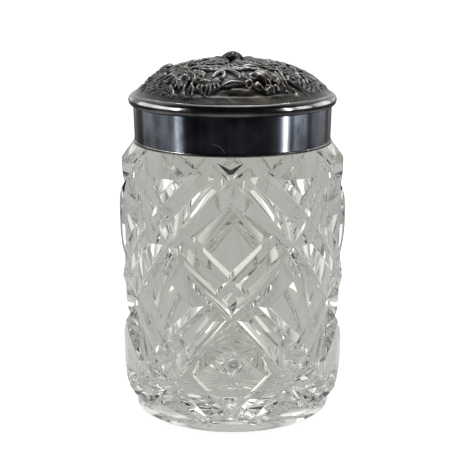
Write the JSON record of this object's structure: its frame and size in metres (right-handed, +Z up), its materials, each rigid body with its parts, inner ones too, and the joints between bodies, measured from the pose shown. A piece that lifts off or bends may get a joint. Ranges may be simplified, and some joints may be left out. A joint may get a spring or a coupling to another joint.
{
  "type": "powder jar",
  "caption": "Cylindrical cut-glass vanity powder jar with a diamond lattice and a slip-on domed repousse metal lid that lifts off.",
  "frame": {"origin": "centre of the flat base of the glass, on the surface that the jar stands on", "axes": "+Z up through the lid along the jar's axis of revolution; -Y faces a column of full diamonds"},
  "size_m": [0.064, 0.0643, 0.1015],
  "materials": {
    "cut_glass": "clear polished glass with a faint warm grey-green cast",
    "polished_band": "polished silver plate, tarnished blue-black, with fine scratches",
    "oxidised_silver": "stamped silver, oxidised dark in the hollows and burnished on the high points"
  },
  "bodies": {
    "jar": {"glass_jar": "cut_glass"},
    "lid": {"lid_band": "polished_band", "band_wire": "polished_band", "rim_bead": "oxidised_silver", "lid_dome": "oxidised_silver"}
  },
  "joints": [
    {"name": "lid_lift", "type": "slide", "parent": "jar", "child": "lid", "axis": [0, 0, 1], "range_m": [0, 0.03]}
  ]
}
